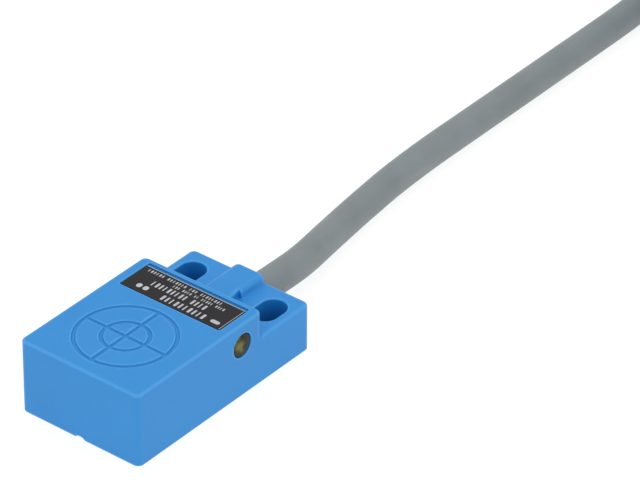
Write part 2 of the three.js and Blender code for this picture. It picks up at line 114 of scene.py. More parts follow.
class Paint:
    """A Principled material and the few node chains that its parts share."""

    def __init__(self, name, **values):
        self.material = bpy.data.materials.new(name)
        self.material.use_nodes = True
        self.nodes = self.material.node_tree.nodes
        self.links = self.material.node_tree.links
        self.shader = self.nodes["Principled BSDF"]
        self.place = self.nodes.new("ShaderNodeTexCoord").outputs["Object"]
        self.normal = None
        for socket, value in values.items():
            self.shader.inputs[socket.replace("_", " ")].default_value = value

    def noise(self, size, detail=3.0, stretch=(1, 1, 1)):
        """Noise whose features are about size millimetres across."""
        mapping = self.nodes.new("ShaderNodeMapping")
        mapping.inputs["Scale"].default_value = stretch
        self.links.new(self.place, mapping.inputs["Vector"])
        texture = self.nodes.new("ShaderNodeTexNoise")
        texture.inputs["Scale"].default_value = 1 / (size * MM)
        texture.inputs["Detail"].default_value = detail
        self.links.new(mapping.outputs["Vector"], texture.inputs["Vector"])
        return texture.outputs["Fac"]

    def spots(self, size, share):
        """A mask of soft spots, one about every size millimetres, of which share are filled."""
        texture = self.nodes.new("ShaderNodeTexVoronoi")
        texture.inputs["Scale"].default_value = 1 / (size * MM)
        self.links.new(self.place, texture.inputs["Vector"])
        return self.ramp(texture.outputs["Distance"], share, 0.0)

    def ramp(self, value, start, end, low=0.0, high=1.0):
        """value mapped from start..end to low..high and clamped."""
        node = self.nodes.new("ShaderNodeMapRange")
        node.inputs["From Min"].default_value = start
        node.inputs["From Max"].default_value = end
        node.inputs["To Min"].default_value = low
        node.inputs["To Max"].default_value = high
        self.links.new(value, node.inputs["Value"])
        return node.outputs["Result"]

    def attribute(self, name):
        node = self.nodes.new("ShaderNodeAttribute")
        node.attribute_name = name
        return node.outputs["Fac"]

    def mix(self, factor, first, second):
        """A colour between first and second, each a colour or a socket."""
        node = self.nodes.new("ShaderNodeMix")
        node.data_type = "RGBA"
        self.links.new(factor, node.inputs["Factor"])
        for index, value in zip(MIX_COLORS, (first, second)):
            if isinstance(value, bpy.types.NodeSocket):
                self.links.new(value, node.inputs[index])
            else:
                node.inputs[index].default_value = value
        return node.outputs[MIX_RESULT]

    def color(self, socket):
        self.links.new(socket, self.shader.inputs["Base Color"])

    def rough(self, value, start, end, low, high):
        self.links.new(self.ramp(value, start, end, low, high), self.shader.inputs["Roughness"])

    def bump(self, height, depth):
        """Adds relief: height 0..1 stands for depth millimetres."""
        node = self.nodes.new("ShaderNodeBump")
        node.inputs["Distance"].default_value = depth * MM
        self.links.new(height, node.inputs["Height"])
        if self.normal:
            self.links.new(self.normal, node.inputs["Normal"])
        self.normal = node.outputs["Normal"]
        self.links.new(self.normal, self.shader.inputs["Normal"])


def shade(color, factor):
    return tuple(channel * factor for channel in color[:3]) + (1.0,)


def plastic(name, color, rough=0.5, grain=0.25, relief=0.004, variation=0.08, coarse=6.0, **values):
    """Moulded plastic: a slow drift in colour, a fine grain, and uneven gloss."""
    paint = Paint(name, **values)
    drift = paint.noise(coarse, 2.0)
    fine = paint.noise(grain, 4.0)
    body = paint.mix(
        paint.ramp(drift, *NOISE_RANGE),
        shade(color, 1 - variation),
        shade(color, 1 + variation),
    )
    paint.color(body)
    paint.rough(fine, *NOISE_RANGE, rough - UNEVEN_GLOSS, rough + UNEVEN_GLOSS)
    paint.bump(fine, relief)
    return paint, body


def metal(name, color, rough=0.3, grain=0.2, relief=0.004):
    """Tinned or bare metal with fine unevenness."""
    paint = Paint(name, Metallic=1.0)
    fine = paint.noise(grain, 4.0)
    tone = paint.mix(paint.ramp(paint.noise(1.5), *NOISE_RANGE), shade(color, 0.85), color)
    paint.color(tone)
    paint.rough(fine, *NOISE_RANGE, rough - 0.08, rough + 0.1)
    paint.bump(fine, relief)
    return paint.material


# ---------------------------------------------------------------- materials
HOUSING_BLUE = (0.014, 0.24, 0.62, 1.0)
# the painted highlight on outer edges, and the painted shade in inner corners and slots
HIGHLIGHT_BLUE = (0.12, 0.46, 0.9, 1.0)
SHADED_BLUE = (0.006, 0.13, 0.44, 1.0)
SPECK_BLUE = (0.25, 0.5, 0.8, 1.0)
CABLE_GREY = (0.187, 0.219, 0.229, 1.0)
SCUFF_GREY = (0.28, 0.31, 0.32, 1.0)
LAMP_TAN = (0.18, 0.14, 0.06, 1.0)
LAMP_OLIVE = (0.115, 0.14, 0.034, 1.0)
LAMP_DARK = (0.018, 0.018, 0.008, 1.0)
# The painted highlight in the lamp: its centre, where each tone ends, and how much distance counts
# upward.
LAMP_HIGHLIGHT = {"y": 2.65, "z": 7.1, "spot": 0.1, "bright": 0.4, "dark": 1.0, "upward": 0.8}


def housing_material():
    """Blue plastic with a painted highlight on its outer edges and painted shade in inner corners and
    deep in the slots, with a few pale specks.
    """
    paint, body = plastic(
        "housing_blue",
        HOUSING_BLUE,
        rough=0.46,
        grain=0.18,
        relief=0.003,
        variation=0.03,
        coarse=8.0,
        Specular_IOR_Level=0.4,
    )
    edge = paint.attribute("edge")
    # painted highlight: outer edges paler, for the gloss of light on their rounding
    painted_light = paint.mix(paint.ramp(edge, 0.1, 0.45, 0.0, 0.36), body, HIGHLIGHT_BLUE)
    # painted shade: inner corners and deep slot walls darker
    shaded = paint.mix(paint.ramp(edge, -0.2, -1.0, 0.0, 0.4), painted_light, SHADED_BLUE)
    speck = paint.spots(0.9, 0.05)
    paint.color(paint.mix(speck, shaded, SPECK_BLUE))
    paint.bump(paint.noise(2.2, 2.0), 0.006)
    return paint.material


def label_material():
    paint, _ = plastic(
        "label_black",
        (0.010, 0.008, 0.010, 1.0),
        rough=0.42,
        grain=0.12,
        relief=0.002,
        variation=0.12,
        coarse=3.0,
        Specular_IOR_Level=0.22,
    )
    return paint.material


def lamp_material():
    """Tinted epoxy: dark olive, with a tan patch painted on the side where it catches the light."""
    paint = Paint("lamp_amber", Transmission_Weight=0.05, Specular_IOR_Level=0.12)
    offset = paint.nodes.new("ShaderNodeVectorMath")
    offset.operation = "MULTIPLY_ADD"
    offset.inputs[1].default_value = (0, 1 / MM, LAMP_HIGHLIGHT["upward"] / MM)
    offset.inputs[2].default_value = (0, -LAMP_HIGHLIGHT["y"], -LAMP_HIGHLIGHT["upward"] * LAMP_HIGHLIGHT["z"])
    paint.links.new(paint.place, offset.inputs[0])
    away = paint.nodes.new("ShaderNodeVectorMath")
    away.operation = "LENGTH"
    paint.links.new(offset.outputs["Vector"], away.inputs[0])
    cloud = paint.noise(0.7, 3.0)
    uneven = paint.nodes.new("ShaderNodeMath")
    paint.links.new(away.outputs["Value"], uneven.inputs[0])
    paint.links.new(paint.ramp(cloud, 0.2, 0.8, -0.5, 0.5), uneven.inputs[1])
    distance = uneven.outputs[0]
    # painted highlight: tan in the middle, olive round it, fading into the dark tint
    patch = paint.mix(
        paint.ramp(distance, LAMP_HIGHLIGHT["spot"], LAMP_HIGHLIGHT["bright"]),
        LAMP_TAN,
        LAMP_OLIVE,
    )
    darkening = paint.ramp(distance, LAMP_HIGHLIGHT["bright"], LAMP_HIGHLIGHT["dark"])
    paint.color(paint.mix(darkening, patch, LAMP_DARK))
    paint.rough(cloud, *NOISE_RANGE, 0.12, 0.25)
    paint.bump(paint.noise(0.35, 2.0), 0.004)
    return paint.material


def cable_material():
    """Extruded PVC: fine mottling, faint scuffs and a soft gloss."""
    paint, body = plastic(
        "cable_grey",
        CABLE_GREY,
        rough=0.5,
        grain=0.22,
        relief=0.006,
        variation=0.06,
        coarse=5.0,
    )
    scuff = paint.noise(1.6, 6.0, stretch=(1, 0.25, 1))
    paint.color(paint.mix(paint.ramp(scuff, 0.6, 0.75, 0.0, 0.25), body, SCUFF_GREY))
    paint.bump(paint.noise(3.0, 1.0), 0.02)
    return paint.material


def winding_material():
    """Enamelled copper: the wound wires show as fine rings."""
    paint = Paint("winding_copper", Metallic=0.9, Coat_Weight=0.5)
    wave = paint.nodes.new("ShaderNodeTexWave")
    wave.bands_direction = "Z"
    wave.inputs["Scale"].default_value = 1 / (1.2 * MM)
    paint.links.new(paint.place, wave.inputs["Vector"])
    rings = wave.outputs["Fac"]
    paint.color(paint.mix(rings, (0.28, 0.08, 0.025, 1), (0.62, 0.22, 0.08, 1)))
    paint.rough(rings, 0, 1, 0.35, 0.22)
    paint.bump(rings, 0.05)
    return paint.material


def board_material():
    """Solder resist over a glass weave, with faint copper underneath."""
    paint = Paint("board_green", Coat_Weight=0.3)
    weave = paint.noise(0.5, 2.0, stretch=(1, 3, 1))
    copper = paint.ramp(paint.noise(1.8, 0.0), 0.5, 0.53)
    resist = paint.mix(copper, (0.010, 0.110, 0.035, 1), (0.020, 0.170, 0.055, 1))
    paint.color(resist)
    paint.rough(weave, *NOISE_RANGE, 0.35, 0.5)
    paint.bump(copper, 0.03)
    return paint.material


def simple(name, color, **settings):
    return plastic(name, color, **settings)[0].material


MATERIALS = {
    "housing_blue": housing_material(),
    "cover_blue": simple("cover_blue", (0.022, 0.25, 0.66, 1), rough=0.55, variation=0.05),
    "label_black": label_material(),
    "label_print": simple("label_print", (0.47, 0.48, 0.50, 1), rough=0.5, grain=0.1, variation=0.1),
    "lamp_amber": lamp_material(),
    "cable_grey": cable_material(),
    "resin_dark": simple("resin_dark", (0.023, 0.019, 0.016, 1), rough=0.2, coarse=2.0),
    "ferrite_grey": simple("ferrite_grey", (0.042, 0.042, 0.047, 1), rough=0.55, relief=0.02),
    "former_natural": simple("former_natural", (0.69, 0.67, 0.58, 1), rough=0.45),
    "winding_copper": winding_material(),
    "board_green": board_material(),
    "package_black": simple("package_black", (0.012, 0.012, 0.014, 1), rough=0.55, relief=0.008),
    "chip_ceramic": simple("chip_ceramic", (0.46, 0.32, 0.19, 1), rough=0.6, relief=0.01),
    "tantalum_yellow": simple("tantalum_yellow", (0.69, 0.36, 0.03, 1), rough=0.5),
    "tinned_metal": metal("tinned_metal", (0.60, 0.61, 0.62, 1)),
    "conductor_brown": simple("conductor_brown", (0.147, 0.050, 0.016, 1), rough=0.42, coarse=4),
    "conductor_blue": simple("conductor_blue", (0.023, 0.115, 0.434, 1), rough=0.42, coarse=4),
    "conductor_black": simple("conductor_black", (0.012, 0.012, 0.013, 1), rough=0.42, coarse=4),
    "tie_black": simple("tie_black", (0.013, 0.013, 0.014, 1), rough=0.38, coarse=2.0),
}


# ---------------------------------------------------------------- mesh tools
def link(name, data, slot, *replaced):
    """Puts data in the scene as a piece of the object, in the finish of that slot."""
    piece = bpy.data.objects.new(name, data)
    bpy.context.collection.objects.link(piece)
    data.materials.append(MATERIALS[slot])
    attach(piece, "root")
    if replaced:
        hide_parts(*replaced)
    return piece


def mesh_of(name, points, faces):
    """A smooth-shaded mesh from points in millimetres."""
    mesh = bpy.data.meshes.new(name)
    mesh.from_pydata([tuple(c * MM for c in point) for point in points], [], faces)
    bm = bmesh.new()
    bm.from_mesh(mesh)
    bmesh.ops.recalc_face_normals(bm, faces=bm.faces)
    bm.to_mesh(mesh)
    bm.free()
    mesh.polygons.foreach_set("use_smooth", [True] * len(mesh.polygons))
    return mesh


def rings_mesh(name, rings, closed=False):
    """A skin over equal rings of points, ends closed by caps unless the rings close on themselves."""
    count = len(rings[0])
    total = len(rings)
    faces = []
    for i in range(total if closed else total - 1):
        a, b = i * count, ((i + 1) % total) * count
        faces += [(a + j, a + (j + 1) % count, b + (j + 1) % count, b + j) for j in range(count)]
    if not closed:
        faces.append(tuple(reversed(range(count))))
        faces.append(tuple(range((total - 1) * count, total * count)))
    return mesh_of(name, [point for ring in rings for point in ring], faces)


def sharpen(mesh, degrees=35):
    """Keeps edges steeper than degrees sharp in a smooth-shaded mesh."""
    bm = bmesh.new()
    bm.from_mesh(mesh)
    limit = math.radians(degrees)
    for edge in bm.edges:
        edge.smooth = len(edge.link_faces) == 2 and edge.calc_face_angle(0) < limit
    bm.to_mesh(mesh)
    bm.free()


def add_block(bm, centre, size, rounding, segments):
    """Adds to bm a box with rounded edges, its centre, size and rounding in millimetres."""
    place = Matrix.Translation(Vector(centre) * MM)
    made = bmesh.ops.create_cube(bm, matrix=place @ Matrix.Diagonal((*(s * MM for s in size), 1)))
    edges = list({edge for vert in made["verts"] for edge in vert.link_edges})
    bmesh.ops.bevel(bm, geom=edges, offset=rounding * MM, segments=segments, affect="EDGES", profile=0.5)


def smooth_step(t):
    """0 to 1 with a soft start and end."""
    t = min(max(t, 0.0), 1.0)
    return t * t * (3 - 2 * t)


def catmull(points, pieces=6):
    """A smooth line through the points, with pieces steps between each two."""
    given = [Vector(p) for p in points]
    ends = [given[0] * 2 - given[1]] + given + [given[-1] * 2 - given[-2]]
    line = []
    for a, b, c, d in zip(ends, ends[1:], ends[2:], ends[3:]):
        for i in range(pieces):
            t = i / pieces
            line.append(0.5 * (
                2 * b
                + (c - a) * t
                + (2 * a - 5 * b + 4 * c - d) * t ** 2
                + (3 * b - a - 3 * c + d) * t ** 3
            ))
    return line + [given[-1]]


def cord_curve(name, line, radius, slot, *replaced):
    """A round cord along a line of points in millimetres, as one open spline."""
    curve = bpy.data.curves.new(name, "CURVE")
    curve.dimensions = "3D"
    curve.bevel_depth = radius * MM
    curve.bevel_resolution = 6
    curve.use_fill_caps = True
    spline = curve.splines.new("POLY")
    spline.points.add(len(line) - 1)
    for point, place in zip(spline.points, line):
        point.co = (*(place * MM), 1)
    spline.use_smooth = True
    return link(name, curve, slot, *replaced)


# ---------------------------------------------------------------- the lead
CABLE_RADIUS = 2.0
CABLE_Z = (JACKET_LOW.z + JACKET_HIGH.z) / 2
CABLE_ROUTE = [  # metres, from inside the bore to the edge of the hank
    (0, 0.013, 0.00355),
    (0, 0.0155, 0.00355),
    (0, 0.0175, 0.00355),
    (0, 0.0197, 0.00353),
    (-0.00005, 0.022, 0.00344),
    (-0.00023, 0.0245, 0.00329),
    (-0.0006, 0.027, 0.0031),
    (-0.00112, 0.0295, 0.00287),
    (-0.00164, 0.032, 0.00264),
    (-0.00214, 0.0345, 0.00242),
    (-0.00261, 0.037, 0.00223),
    (-0.00303, 0.0395, 0.00209),
    (-0.00336, 0.042, 0.00202),
    (-0.00387, 0.047, 0.00201),
    (-0.00416, 0.052, 0.00201),
    (-0.0043, 0.057, 0.00201),
    (-0.00433, 0.064, 0.00201),
    (-0.00436, 0.072, 0.00201),
    (-0.0044, 0.08, 0.00201),
    (-0.00444, 0.088, 0.00201),
    (-0.0045, 0.096, 0.00202),
    (-0.00468, 0.101, 0.0021),
    (-0.0052, 0.106, 0.0023),
    (-0.0059, 0.1095, 0.0025),
]
HANK_ENTRY = [(-0.0066, 0.113, 0.00268), (-0.0071, 0.1165, 0.00282), (-0.0074, 0.120, 0.0029)]

HANK_X = (HANK_LOW.x + HANK_HIGH.x) / 2
HANK_RADIUS = (HANK_HIGH.x - HANK_LOW.x) / 2
NEAR = HANK_LOW.y + HANK_RADIUS
FAR = HANK_HIGH.y - HANK_RADIUS
RUN = FAR - NEAR
PITCH = 2 * CABLE_RADIUS
TURNS = 8
STEPS = 16              # points along each straight and each end loop
CHANGE_SHARE = 0.3      # share of the return side over which a turn moves to its next place
CHANGE_DELAY = 0.09     # how much sooner each later turn has moved, so that none meets another


def hank_place(turn):
    """Column (0 outer, 1 inner) and layer of a turn: layers are wound in, then out, then in."""
    layer = turn // 2
    return (turn + layer) % 2, layer


def hank_point(turn, side, t):
    """A point of a turn: side 0 runs out, 1 is the far loop, 2 runs back, 3 is the near loop."""
    (column, layer), (next_column, next_layer) = hank_place(turn), hank_place(turn + 1)
    loop = math.pi * (HANK_RADIUS - PITCH)
    back = 0.0              # share of the way back that is done
    if side == 2:
        back = RUN * t / (RUN + loop)
    if side == 3:
        back = (RUN + loop * t) / (RUN + loop)
    start = (TURNS - 1 - turn) * CHANGE_DELAY
    moved = smooth_step((back - start) / CHANGE_SHARE)
    radius = HANK_RADIUS - CABLE_RADIUS - PITCH * (column + (next_column - column) * moved)
    z = HANK_LOW.z + CABLE_RADIUS + PITCH * (layer + (next_layer - layer) * moved)
    if side == 0:
        return Vector((HANK_X - radius, NEAR + RUN * t, z))
    if side == 2:
        return Vector((HANK_X + radius, FAR - RUN * t, z))
    angle = math.pi * (1 - t) if side == 1 else -math.pi * t
    centre = FAR if side == 1 else NEAR
    return Vector((HANK_X + radius * math.cos(angle), centre + radius * math.sin(angle), z))


def hank_line():
    """All whole turns, and the last half turn that lies on top of them."""
    sides = [(turn, side) for turn in range(TURNS) for side in range(4)]
    sides += [(TURNS, 0), (TURNS, 1)]
    line = [hank_point(turn, side, i / STEPS) for turn, side in sides for i in range(STEPS)]
    return line + [hank_point(TURNS, 1, 1.0)]


def lead_line():
    """The whole lead in millimetres, from inside the bore to its cut end."""
    route = catmull([Vector(p) / MM for p in CABLE_ROUTE + HANK_ENTRY] + [hank_point(0, 0, 0)])
    return route[:-1] + hank_line()


LEAD = lead_line()
CORE_RADIUS = 0.6
CORE_LENGTH = 39.0
CORES = {  # where each conductor leaves the cut jacket, and where it ends across the hank
    "brown": {"start": (-0.8, -0.45), "end": -4.6},
    "blue": {"start": (0.0, 0.85), "end": -2.1},
    "black": {"start": (0.8, -0.45), "end": 0.6},
}


def core_line(start, end):
    """Route of a stripped conductor: out of the jacket, down onto the hank and along it."""
    dx, dz = start
    tail = LEAD[-1]
    rest = tail.z - CABLE_RADIUS + CORE_RADIUS
    return catmull([
        (tail.x + dx, tail.y + 1.0, tail.z + dz),
        (tail.x + dx, tail.y - 3, tail.z + dz * 0.9),
        (tail.x + dx + (end - dx) * 0.25, tail.y - 9, (tail.z + dz + rest) / 2),
        (tail.x + dx + (end - dx) * 0.6, tail.y - 16, rest + 0.15),
        (tail.x + dx + (end - dx) * 0.9, tail.y - 24, rest),
        (tail.x + end, tail.y - 31, rest),
        (tail.x + end, tail.y - CORE_LENGTH, rest),
    ])


STRANDS = {"radius": 0.4, "lobes": 7, "lobe_height": 0.1, "twist": 5 * math.pi, "overlap": 0.3}
STRAND_ROUNDING = {"from": 0.93, "over": 0.07, "least": 0.05}   # shares of the length and area
STRAND_RINGS = 40
STRAND_POINTS = 42          # points round each ring


def strand_tip(name, end):
    """Tinned strands: a twisted bundle with lobes, rounded at the tip."""
    length = TIP_HIGH.y - TIP_LOW.y + 2 * STRANDS["overlap"]
    rings = []
    for i in range(STRAND_RINGS + 1):
        t = i / STRAND_RINGS
        rounded = max((t - STRAND_ROUNDING["from"]) / STRAND_ROUNDING["over"], 0)
        size = STRANDS["radius"] * math.sqrt(max(1 - rounded ** 2, STRAND_ROUNDING["least"]))
        y = end.y + STRANDS["overlap"] - length * t
        ring = []
        for j in range(STRAND_POINTS):
            angle = 2 * math.pi * j / STRAND_POINTS
            lobe = math.cos(STRANDS["lobes"] * angle + STRANDS["twist"] * t)
            r = size * (1 + STRANDS["lobe_height"] * lobe)
            ring.append((end.x + r * math.cos(angle), y, end.z + r * math.sin(angle)))
        rings.append(ring)
    return link(name, rings_mesh(name, rings), "tinned_metal", name.replace("strands", "tip"))


TIE_WIDTH = 2.6
TIE_THICKNESS = 0.75
TIE_GAP = 0.02              # between the strap and the turns
TIE_CHAMFER = 0.2
TIE_STEPS = 8               # steps round each of the strap's corners
TIE_BLOCK_ROUND = 0.25
TIE_BLOCKS = [              # locking head and clipped tail: size, and shift from the strap
    {"size": (2.6, 3.4, 3.2), "shift": (1.3, 0, 0)},
    {"size": (3.0, 2.2, 0.9), "shift": (3.4, 0, 0.4)},
]


def tie_profile(offset):
    """Outline round the tied side of the hank in X and Z, offset millimetres out from its turns."""
    outer = HANK_LOW.x + CABLE_RADIUS
    inner = outer + PITCH
    low = HANK_LOW.z + CABLE_RADIUS
    high = low + PITCH * (TURNS // 2)
    corners = [  # centre of each rounded corner, and the angles where it starts and ends
        (inner, low, -90, 0),
        (inner, high - PITCH, 0, 45),
        (outer, high, 45, 180),
        (outer, low, 180, 270),
    ]
    reach = CABLE_RADIUS + offset
    points = []
    for x, z, first, last in corners:
        for i in range(TIE_STEPS + 1):
            angle = math.radians(first + (last - first) * i / TIE_STEPS)
            points.append((x + reach * math.cos(angle), z + reach * math.sin(angle)))
    return points


def hank_tie():
    """Nylon strap round one side of the hank, with its locking head and clipped tail."""
    y = (TIE_LOW.y + TIE_HIGH.y) / 2
    inner, outer = tie_profile(TIE_GAP), tie_profile(TIE_THICKNESS)
    half = TIE_WIDTH / 2
    cross = [(-half, 0), (-half + TIE_CHAMFER, 1), (half - TIE_CHAMFER, 1), (half, 0)]
    rings = []
    for (xi, zi), (xo, zo) in zip(inner, outer):
        ring = []
        for dy, out in cross:
            ring.append((xi + (xo - xi) * out, y + dy, zi + (zo - zi) * out))
        rings.append(ring)
    strap = rings_mesh("strap", rings, closed=True)
    sharpen(strap)
    bm = bmesh.new()
    bm.from_mesh(strap)
    x = HANK_LOW.x + 2 * PITCH + TIE_THICKNESS / 2
    z = (HANK_LOW.z + HANK_HIGH.z) / 2
    for block in TIE_BLOCKS:
        dx, dy, dz = block["shift"]
        add_block(bm, (x + dx, y + dy, z + dz), block["size"], TIE_BLOCK_ROUND, 3)
    bm.to_mesh(strap)
    bm.free()
    return link("hank_tie", strap, "tie_black", "cable_tie")


lead = cord_curve("lead", LEAD, CABLE_RADIUS, "cable_grey", "cable_run", "cable_hank", "cable_tail")
tie = hank_tie()
for colour, place in CORES.items():
    line = core_line(**place)
    core = cord_curve(f"tail_{colour}", line, CORE_RADIUS, f"conductor_{colour}", f"core_{colour}_tail")
    strands = strand_tip(f"strands_{colour}", line[-1])

# ---------------------------------------------------------------- the housing as a distance field
VOXEL = 0.08
HEAD_REAR = 6.7
LEDGE_TOP = 6.45
CORNER = 0.8
TOP_EDGE = 0.3
WALL = 1.2
CAVITY_REAR = 5.5
COVER_RIM = 0.4
COVER_THICKNESS = 1.0
BOSS = {"top": 7.6, "top_half": 2.05, "foot_half": 2.4, "corner": 0.65}
RELIEF = {"near": 2.4, "far": 1.8, "end": 11.05, "sink": 0.3}
SLOT = {"x": 6.2, "y": 11.35, "radius": 1.7, "half": 0.75, "deep": 3.0}
TARGET = {"y": -7.2, "rings": (6.05, 2.85), "half": 0.25, "depth": 0.25}
POCKET = {"half": 7.65, "front": 0.5, "rear": 6.0, "depth": 0.3}
LAMP = {"y": 3.15, "z": 7.0, "hole": 1.6}
BORE = 2.15
GATE = {"half": 0.65, "height": 0.32, "depth": 0.4}
OVERLAP = 1.0               # how far a shape runs on into what it joins or opens into
ROUND = {                   # corner radii in plan
    "cavity": 0.5,
    "rim": 0.3,
    "pocket": 0.25,
}
EDGE = {                    # radii of outer edges
    "base": 0.1,
    "ledge": 0.35,
    "boss": 0.5,
}
LIP = {                     # radii round the mouths of what is cut out
    "rim": 0.1,
    "bore": 0.15,
    "lamp": 0.12,
    "pocket": 0.1,
    "groove": 0.1,
    "slot": 0.2,
    "gate": 0.05,
    "relief": 0.18,
}
GROOVE_FLOOR = 0.18         # radius in the bottom of the engraved grooves
FILLET = 0.2                # radius where head, ledge and boss meet
SNAP_PASSES = 2             # how often the mesh is pulled onto the zero surface
SNAP_STEP = 0.02            # steps over which the field's slope is taken, to place the points, to shade the surface, and to find the edges and inner corners that get painted highlight and painted shade
SHADE_STEP = 0.03           # to shade the surface,
PAINTED_LIGHT_STEP = 0.15            # and to find its edges
PAINTED_LIGHT_CURVATURE = 8          # curvature at which the edge attribute, the mask of painted highlight, reaches 1
SLOT_REACH = 0.1            # distance from a slot's wall within which a point counts as inside it, for the painted shade


def both(a, b, r=0.0):
    """Intersection of two distance fields, its edge rounded to radius r."""
    if r == 0:
        return np.maximum(a, b)
    corner = np.hypot(np.maximum(a + r, 0), np.maximum(b + r, 0))
    return np.minimum(np.maximum(a, b), -r) + corner


def either(a, b, r=0.0):
    """Union of two distance fields, its inner corner filled to radius r."""
    return -both(-a, -b, r)


def without(a, b, r=0.0):
    """a with b cut out of it, the lip rounded to radius r."""
    return both(a, -b, r)


def rectangle(x, y, x0, x1, y0, y1, r=0.0):
    """Distance to a rectangle in the plane with corners of radius r."""
    dx = np.maximum(x0 - x, x - x1) + r
    dy = np.maximum(y0 - y, y - y1) + r
    outside = np.hypot(np.maximum(dx, 0), np.maximum(dy, 0))
    return outside + np.minimum(np.maximum(dx, dy), 0) - r


def boss_field(x, y, z):
    """Raised hump over the cable bore, with a wedge cut out of its right flank behind the head."""
    rise = BOSS["top"] - LEDGE_TOP
    spread = BOSS["foot_half"] - BOSS["top_half"]
    slope = math.hypot(rise, spread)
    flank = ((np.abs(x) - BOSS["foot_half"]) * rise + (z - LEDGE_TOP) * spread) / slope
    hump = both(both(flank, y - REAR, BOSS["corner"]), z - BOSS["top"], EDGE["boss"])
    run = RELIEF["end"] - (HEAD_REAR - OVERLAP)
    turn = math.atan2(RELIEF["near"] - RELIEF["far"], run)
    side = (RELIEF["far"] - x) * math.cos(turn) + (RELIEF["end"] - y) * math.sin(turn)
    wedge = both(both(side, y - RELIEF["end"]), LEDGE_TOP - RELIEF["sink"] - z)
    hump = without(hump, wedge, LIP["relief"])
    return both(both(hump, HEAD_REAR - OVERLAP - y), CABLE_Z - z)


def target_field(x, y, z):
    """Engraved rings and cross of the sensing face."""
    y = y - TARGET["y"]
    away = np.hypot(x, y)
    outer, inner = TARGET["rings"]
    lines = np.minimum(np.abs(away - outer), np.abs(away - inner))
    cross = np.minimum(np.maximum(np.abs(x), away - outer), np.maximum(np.abs(y), away - outer))
    lines = np.minimum(lines, cross) - TARGET["half"]
    return both(lines, TOP - TARGET["depth"] - z, GROOVE_FLOOR)


def slot_field(x, y):
    """The two upright screw slots."""
    along = np.maximum(np.abs(y - SLOT["y"]) - SLOT["half"], 0)
    return np.hypot(np.abs(x) - SLOT["x"], along) - SLOT["radius"]


def housing_field(x, y, z):
    """Distance to the housing's surface, negative inside the plastic."""
    head = rectangle(x, y, -HALF_WIDTH, HALF_WIDTH, FRONT, HEAD_REAR, CORNER)
    head = both(head, z - TOP, TOP_EDGE)
    outline = rectangle(x, y, -HALF_WIDTH, HALF_WIDTH, FRONT, REAR, CORNER)
    ledge = both(outline, z - LEDGE_TOP, EDGE["ledge"])
    body = either(either(head, ledge, FILLET), boss_field(x, y, z), FILLET)
    body = both(both(body, outline), -z, EDGE["base"])
    room = HALF_WIDTH - WALL
    cavity = rectangle(x, y, -room, room, FRONT + WALL, CAVITY_REAR, ROUND["cavity"])
    rim = rectangle(
        x,
        y,
        -room - COVER_RIM,
        room + COVER_RIM,
        FRONT + WALL - COVER_RIM,
        CAVITY_REAR + COVER_RIM,
        ROUND["rim"],
    )
    body = without(body, both(cavity, z - (TOP - WALL)))
    body = without(body, both(rim, z - COVER_THICKNESS), LIP["rim"])
    bore = np.hypot(x, z - CABLE_Z) - BORE
    body = without(body, both(bore, CAVITY_REAR - OVERLAP - y), LIP["bore"])
    lamp = np.hypot(y - LAMP["y"], z - LAMP["z"]) - LAMP["hole"]
    body = without(body, both(lamp, room - OVERLAP - x), LIP["lamp"])
    across = POCKET["half"]
    pocket = rectangle(x, y, -across, across, POCKET["front"], POCKET["rear"], ROUND["pocket"])
    body = without(body, both(pocket, TOP - POCKET["depth"] - z), LIP["pocket"])
    body = without(body, target_field(x, y, z), LIP["groove"])
    body = without(body, slot_field(x, y), LIP["slot"])
    gate = np.hypot(x / GATE["half"], z / GATE["height"]) - 1
    return without(body, both(gate * GATE["height"], y - FRONT - GATE["depth"]), LIP["gate"])


def gradient(points, step):
    """The housing's field at points, the direction in which it grows, and its curvature."""
    here = housing_field(*points.T)
    parts = []
    total = -6 * here       # the six neighbours are added below
    for axis in range(3):
        shift = np.zeros(3)
        shift[axis] = step
        ahead = housing_field(*(points + shift).T)
        behind = housing_field(*(points - shift).T)
        parts.append(ahead - behind)
        total = total + ahead + behind
    slope = np.stack(parts, 1)
    return here, slope / np.maximum(np.linalg.norm(slope, axis=1), 1e-9)[:, None], total / step ** 2


def painted_light_mask(points):
    """Mask of painted light: 1 for painted highlight on outer edges, 0 on flat faces, and down to -1 for
    painted shade in inner corners and deep in the slots.
    """
    _, _, curved = gradient(points, PAINTED_LIGHT_STEP)
    # painted shade deeper down in the slots
    depth = np.clip((LEDGE_TOP - points[:, 2]) / SLOT["deep"], 0, 1)
    inside = slot_field(points[:, 0], points[:, 1]) < SLOT_REACH
    painted_light = np.clip(curved / PAINTED_LIGHT_CURVATURE, -1, 1) - depth * inside
    return np.clip(painted_light, -1, 1).astype(np.float32)


